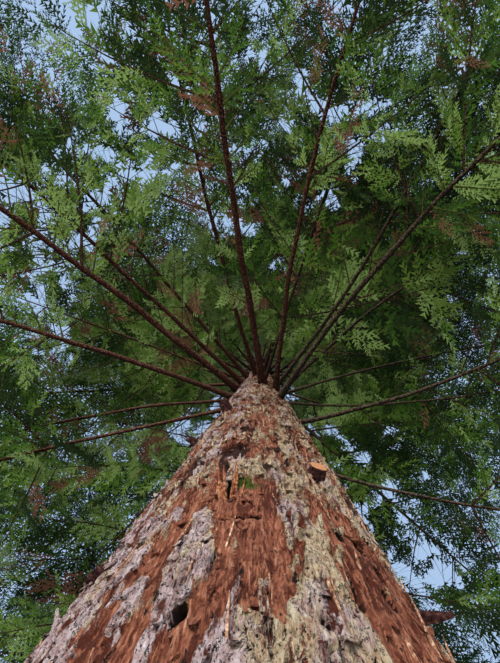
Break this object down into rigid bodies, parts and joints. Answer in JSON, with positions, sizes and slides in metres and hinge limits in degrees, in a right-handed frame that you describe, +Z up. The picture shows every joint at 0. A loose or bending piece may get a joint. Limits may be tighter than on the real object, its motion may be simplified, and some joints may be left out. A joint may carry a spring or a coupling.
{
  "type": "redwood tree",
  "caption": "Tall conifer rooted in level ground: straight tapering trunk with a flared foot, long drooping lower boughs with sprays of needles and a pointed upper crown.",
  "frame": {"origin": "middle of the flat cut under the trunk, at ground level", "axes": "+Z up the trunk; -Y is the side on which the picture's camera stands, and +X is to its right"},
  "size_m": [12.3461, 14.0244, 26],
  "materials": {
    "bark": "rough, fibrous",
    "bough_bark": "rough",
    "needles": "satin"
  },
  "bodies": {
    "root": {"trunk": "bark", "bough_01": "bough_bark", "bough_02": "bough_bark", "bough_03": "bough_bark", "bough_04": "bough_bark", "bough_05": "bough_bark", "bough_06": "bough_bark", "bough_07": "bough_bark", "bough_08": "bough_bark", "bough_09": "bough_bark", "bough_10": "bough_bark", "bough_11": "bough_bark", "bough_12": "bough_bark", "bough_13": "bough_bark", "bough_14": "bough_bark", "bough_15": "bough_bark", "bough_16": "bough_bark", "bough_17": "bough_bark", "foliage_01": "needles", "foliage_02": "needles", "foliage_03": "needles", "foliage_04": "needles", "foliage_05": "needles", "foliage_06": "needles", "foliage_07": "needles", "foliage_08": "needles", "foliage_09": "needles", "foliage_10": "needles", "foliage_11": "needles", "foliage_12": "needles", "foliage_13": "needles", "foliage_14": "needles", "foliage_15": "needles", "foliage_16": "needles", "foliage_17": "needles", "foliage_thin_1": "needles", "foliage_thin_2": "needles", "foliage_thin_3": "needles", "foliage_thin_4": "needles", "foliage_thin_5": "needles", "foliage_upper_01": "needles", "foliage_upper_02": "needles", "foliage_upper_03": "needles", "foliage_upper_04": "needles", "foliage_upper_05": "needles", "foliage_upper_06": "needles", "foliage_upper_07": "needles", "foliage_upper_08": "needles", "foliage_upper_09": "needles", "foliage_upper_10": "needles", "foliage_upper_11": "needles", "foliage_upper_12": "needles", "foliage_upper_13": "needles", "foliage_upper_14": "needles", "foliage_upper_15": "needles", "foliage_upper_16": "needles", "foliage_upper_17": "needles", "foliage_upper_18": "needles", "foliage_upper_19": "needles", "foliage_top": "needles"}
  },
  "joints": []
}
